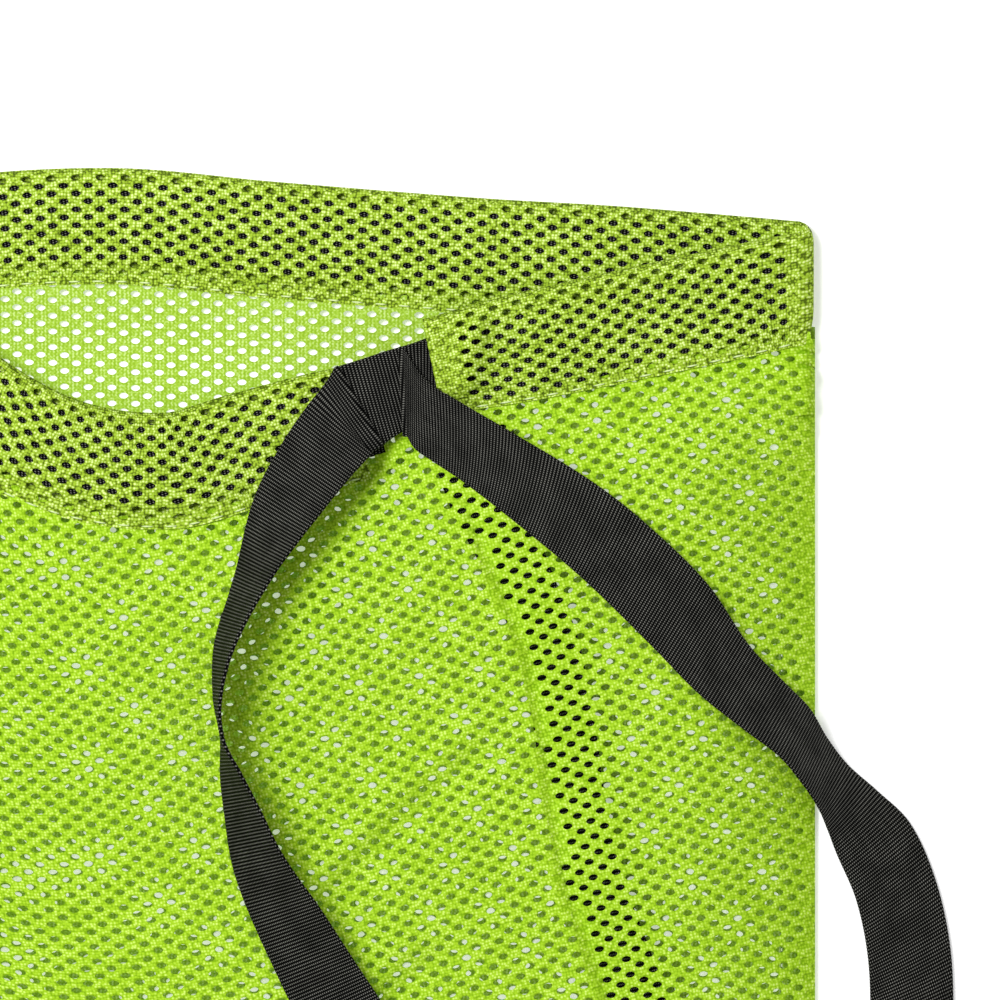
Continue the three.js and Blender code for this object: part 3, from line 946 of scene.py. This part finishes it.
# ---------------------------------------------------------------- webbing inside the casings
def hidden_webbing():
    u = np.linspace(-6, BAND_RUN[-1], 900)
    corner = BAND_RUN[np.argmin(np.abs(BAND_MIDDLE[:, 0] - CASING_END) + 100 * (BAND_NORMAL[:, 2] < 0.99))]
    middle = np.zeros_like(u)
    edges = np.c_[band_place(u, middle + 14.0, middle), band_place(u, middle - 11.0, middle)]
    edges[u < 0] += np.array([1, 0.25, 0, 1, 0.25, 0]) * (-u[u < 0])[:, None]
    split = np.searchsorted(u, corner)
    bag_run = webbing("drawstring_in_casing", edges[: split + 1], step=0.9)
    left = ("webbing_front_run_left", "webbing_corner_left")
    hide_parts(*left, "webbing_back_run", "webbing_corner_right")
    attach(bag_run, "bag")
    start, exit_edges = edges[split], np.array(LEFT_START[3:] + LEFT_START[:3])
    line = np.linspace(0, 1, 200)[:, None]
    right_run = webbing("drawstring_right_run", start * (1 - line) + exit_edges * line, step=0.9)
    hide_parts("webbing_front_run_right")
    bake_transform(right_run)


hidden_webbing()


# ---------------------------------------------------------------- stitches and seams
def stitch_row(name, line, node, pitch=7.1, length=4.2, width=0.3):
    """A row of separate stitches along a line on the cloth."""
    line = np.array(line, float)
    run = run_of(line)
    bm = bmesh.new()
    for middle in np.arange(pitch / 2, run[-1], pitch):
        at = Vector([np.interp(middle, run, c) for c in line.T])
        ahead = Vector([np.interp(middle + 1.5, run, c) for c in line.T])
        behind = Vector([np.interp(middle - 1.5, run, c) for c in line.T])
        turn = (ahead - behind).to_track_quat("X", "Z").to_matrix().to_4x4()
        made = bmesh.ops.create_icosphere(bm, subdivisions=1, radius=1)["verts"]
        bmesh.ops.scale(bm, verts=made, vec=(length / 2, width, width * 0.8))
        for vert in made:
            vert.co.z -= 0.05 * vert.co.x ** 2
        bmesh.ops.transform(bm, verts=made, matrix=turn)
        bmesh.ops.translate(bm, verts=made, vec=at)
    bmesh.ops.scale(bm, verts=bm.verts, vec=(MM, MM, MM))
    piece = piece_from(bm, name, THREAD)
    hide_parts(node)
    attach(piece, "bag")


def band_line(x_from, x_to, normal_up, across, out, count=200):
    mask = (BAND_NORMAL[:, 2] > 0.99) if normal_up else (BAND_NORMAL[:, 2] < -0.99)
    run, x = BAND_RUN[mask], BAND_MIDDLE[mask, 0]
    chosen = run[(x >= min(x_from, x_to)) & (x <= max(x_from, x_to))]
    u = np.linspace(chosen.min(), chosen.max(), count)
    return band_place(u, np.full(count, across), np.full(count, out))


stitch_row("back_hem_stitches", band_line(-145, 145, False, HEM_ROW, -0.95), "back_hem_stitching")
stitch_row("front_hem_stitches_left", band_line(-145, 13, True, HEM_ROW, 0.95), "front_hem_stitching_left")
stitch_row("front_hem_stitches_right", band_line(36, 145, True, HEM_ROW, 0.95), "front_hem_stitching_right")


def slit_row(name, x, node):
    across = np.linspace(-13, 14, 30)
    x = np.full(30, float(x))
    mask = BAND_NORMAL[:, 2] > 0.99
    order = np.argsort(BAND_MIDDLE[mask, 0])
    u = np.interp(x, BAND_MIDDLE[mask, 0][order], BAND_RUN[mask][order])
    stitch_row(name, band_place(u, across, wall_bulge(across) + 0.5), node, pitch=3.6, length=3.2)


slit_row("slit_stitches_left", 9, "slit_stitching_left")
slit_row("slit_stitches_right", 39.5, "slit_stitching_right")
SIDE_ROW = 140.3
BOTTOM_ROW = -240.3
SEAM_LEVEL = 2.1
for side, top in (("left", 195), ("right", 194)):
    sign = -1 if side == "left" else 1
    stitch_row(
        "side_stitches_" + side,
        [[sign * SIDE_ROW, y, SEAM_LEVEL] for y in np.linspace(-231, top, 60)],
        "side_stitching_" + side,
        pitch=4.0,
        length=3.4,
    )
bottom_row = [[x, BOTTOM_ROW, SEAM_LEVEL] for x in np.linspace(-131, 131, 40)]
stitch_row("bottom_stitches", bottom_row, "bottom_stitching", 4.0, 3.4)


def seam_allowance(name, node):
    """The two turned-in cloth edges inside a seam, laid flat."""
    low, high = (np.array(corner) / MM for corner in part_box(node))
    wide = high[0] - low[0] > high[1] - low[1]
    piece = piece_from(grid(200, 8) if wide else grid(8, 300), name, LIME_INSIDE)

    def place(u, v):
        x, y = low[0] + (high[0] - low[0]) * u, low[1] + (high[1] - low[1]) * v
        along_seam, across_seam = (x, v) if wide else (y, u)
        return np.c_[x, y, 1.75 + 0.25 * np.sin(along_seam / 4.0) * np.sin(math.pi * across_seam)]

    reshape(piece, place, lambda u, v: np.c_[(high[0] - low[0]) * u, (high[1] - low[1]) * v] + ROW_PITCH / 2)
    bm = bmesh.new()
    bm.from_mesh(piece.data)
    bmesh.ops.solidify(bm, geom=bm.faces[:], thickness=0.0007)
    bmesh.ops.recalc_face_normals(bm, faces=bm.faces)
    # The rim's faces come in any order, so all are put in the order of their vertices.
    bm.verts.index_update()
    ordered = sorted(bm.faces, key=lambda face: sorted(vert.index for vert in face.verts))
    for order, face in enumerate(ordered):
        face.index = order
    bm.faces.sort()
    bm.to_mesh(piece.data)
    bm.free()
    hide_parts(node)
    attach(piece, "bag")


seam_allowance("side_seam_cloth_left", "side_seam_left")
seam_allowance("side_seam_cloth_right", "side_seam_right")
seam_allowance("bottom_seam_cloth", "bottom_seam")


# ---------------------------------------------------------------- studio
def studio():
    bm = bmesh.new()
    bmesh.ops.create_grid(bm, x_segments=1, y_segments=1, size=3)
    floor = piece_from(bm, "pale_floor", smooth_faces=False)
    material = bpy.data.materials.new("pale_paper")
    material.use_nodes = True
    shader = material.node_tree.nodes["Principled BSDF"]
    shader.inputs["Base Color"].default_value = (0.9, 0.9, 0.9, 1)
    shader.inputs["Roughness"].default_value = 0.9
    shader.inputs["Emission Color"].default_value = (1, 1, 1, 1)
    shader.inputs["Emission Strength"].default_value = 0.35
    floor.data.materials.append(material)
    world = bpy.data.worlds.new("studio")
    world.use_nodes = True
    world.node_tree.nodes["Background"].inputs["Color"].default_value = (1, 1, 1, 1)
    world.node_tree.nodes["Background"].inputs["Strength"].default_value = 0.33
    bpy.context.scene.world = world
    for name, place, size, power in (
        ("key", (-0.5, 0.5, 1.3), 0.5, 19.2),
        ("fill", (0.9, -0.3, 1.2), 1.2, 3.0),
    ):
        light = bpy.data.lights.new(name, "AREA")
        light.size = size
        light.energy = power
        lamp = bpy.data.objects.new(name, light)
        bpy.context.collection.objects.link(lamp)
        lamp.location = place
        lamp.rotation_euler = (Vector((0.03, 0.1, 0)) - Vector(place)).to_track_quat("-Z", "Y").to_euler()


studio()
bpy.context.scene.view_settings.view_transform = "Standard"
